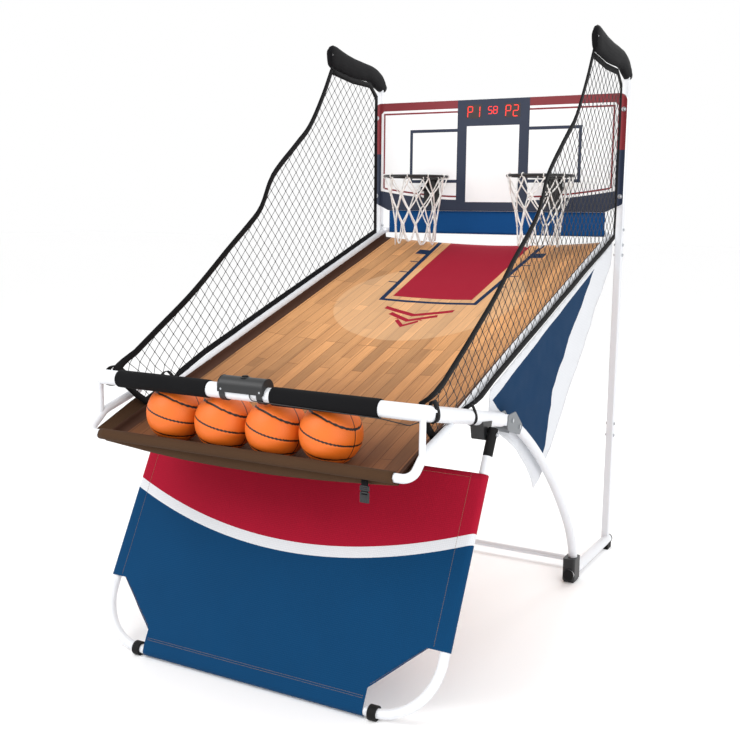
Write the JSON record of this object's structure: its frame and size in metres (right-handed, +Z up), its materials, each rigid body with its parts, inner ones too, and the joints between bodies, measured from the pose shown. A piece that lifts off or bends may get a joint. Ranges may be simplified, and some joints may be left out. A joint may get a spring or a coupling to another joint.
{
  "type": "basketball hoop machine",
  "caption": "Folding arcade basketball game: steel tube frame, backboard with hoops and nets, sloping cloth playfield, side nets, ball tray and hanging front banner.",
  "frame": {"origin": "on the floor, at the middle of the overall width and depth", "axes": "+X to the player's right, -Y towards the player, +Z up"},
  "size_m": [1.2106, 1.88, 2.032],
  "materials": {
    "white_steel": "white powder coat, satin",
    "black_plastic": "moulded, matt",
    "black_rubber": "matt",
    "grey_steel": "grey powder coat, satin",
    "zinc_steel": "zinc plated",
    "black_steel": "black powder coat, satin",
    "board": "printed face, satin",
    "white_rope": "twisted cord",
    "blue_cloth": "plain weave",
    "brown_cloth": "printed plain weave",
    "white_cloth": "plain weave",
    "banner_cloth": "printed plain weave",
    "black_net": "knotted netting",
    "black_cloth": "plain weave",
    "black_foam": "closed-cell foam",
    "black_cable": "smooth jacket",
    "ball_rubber": "pebbled"
  },
  "bodies": {
    "rear_frame": {"arch_leg_left": "white_steel", "arch_leg_right": "white_steel", "arch_sockets": "black_plastic", "backboard": "board", "backdrop_fabric": "blue_cloth", "base_feet": "black_rubber", "base_tube_left": "white_steel", "base_tube_right": "white_steel", "cable_rear": "black_cable", "floor_cross_tube": "white_steel", "frame_bolts": "zinc_steel", "hinge_bracket_left": "grey_steel", "hinge_bracket_right": "grey_steel", "lower_uprights": "white_steel", "net_arm_left": "white_steel", "net_arm_right": "white_steel", "net_sleeve_left": "black_cloth", "net_sleeve_right": "black_cloth", "playfield_fabric": "brown_cloth", "playfield_fold_strip": "brown_cloth", "ramp_rail_left": "white_steel", "ramp_rail_right": "white_steel", "rim_brackets": "black_steel", "rim_left": "black_steel", "rim_net_left": "white_rope", "rim_net_right": "white_rope", "rim_right": "black_steel", "scoreboard_housing": "black_plastic", "side_net_front": "black_net", "side_net_left": "black_net", "side_net_right": "black_net", "side_panel_left": "white_cloth", "side_panel_right": "white_cloth", "top_cross_tube": "white_steel", "upper_upright_left": "white_steel", "upper_upright_right": "white_steel"},
    "front_section": {"u_bar": "white_steel", "tray_tube": "white_steel", "tray_struts": "white_steel", "tray_fabric": "brown_cloth", "foam_grip_left": "black_foam", "foam_grip_right": "black_foam", "control_box": "black_plastic", "cable_front": "black_cable", "leg_saddles": "black_plastic", "leg_pivot_bolts": "zinc_steel"},
    "control_button": {"control_button": "black_rubber"},
    "front_legs": {"banner_tube": "white_steel", "banner_fabric": "banner_cloth", "leg_feet": "black_rubber"},
    "strap": {"hem_strap": "black_cloth", "strap_buckle": "black_plastic"},
    "ball_1": {"ball_1": "ball_rubber"},
    "ball_2": {"ball_2": "ball_rubber"},
    "ball_3": {"ball_3": "ball_rubber"},
    "ball_4": {"ball_4": "ball_rubber"},
    "score_lever_left": {"score_lever_left": "black_plastic"},
    "score_lever_right": {"score_lever_right": "black_plastic"}
  },
  "joints": [
    {"name": "front_fold", "type": "hinge", "parent": "rear_frame", "child": "front_section", "pos_m": [0, -0.279, 0.747], "axis": [-1, 0, 0], "range_deg": [0, 90], "deforming": ["playfield_fold_strip", "side_net_front"]},
    {"name": "leg_fold", "type": "hinge", "parent": "front_section", "child": "front_legs", "pos_m": [0, -0.488, 0.745], "axis": [1, 0, 0], "range_deg": [0, 60]},
    {"name": "strap_swing", "type": "hinge", "parent": "front_section", "child": "strap", "pos_m": [0.412, -0.9252, 0.6889], "axis": [1, 0, 0], "range_deg": [-35, 15]},
    {"name": "button_press", "type": "slide", "parent": "front_section", "child": "control_button", "axis": [0, 0, -1], "range_m": [0, 0.0025], "stiffness_N_per_m": 200},
    {"name": "ball_1_roll", "type": "slide", "parent": "front_section", "child": "ball_1", "axis": [0, 0.9511, 0.309], "range_m": [0, 0.25]},
    {"name": "ball_2_roll", "type": "slide", "parent": "front_section", "child": "ball_2", "axis": [0, 0.9511, 0.309], "range_m": [0, 0.25]},
    {"name": "ball_3_roll", "type": "slide", "parent": "front_section", "child": "ball_3", "axis": [0, 0.9511, 0.309], "range_m": [0, 0.25]},
    {"name": "ball_4_roll", "type": "slide", "parent": "front_section", "child": "ball_4", "axis": [0, 0.9511, 0.309], "range_m": [0, 0.25]},
    {"name": "score_lever_left_trip", "type": "hinge", "parent": "rear_frame", "child": "score_lever_left", "pos_m": [-0.298, 0.863, 1.469], "axis": [1, 0, 0], "range_deg": [0, 20], "stiffness_Nm_per_rad": 0.05, "springref_deg": -17.19},
    {"name": "score_lever_right_trip", "type": "hinge", "parent": "rear_frame", "child": "score_lever_right", "pos_m": [0.298, 0.863, 1.469], "axis": [1, 0, 0], "range_deg": [0, 20], "stiffness_Nm_per_rad": 0.05, "springref_deg": -17.19}
  ]
}
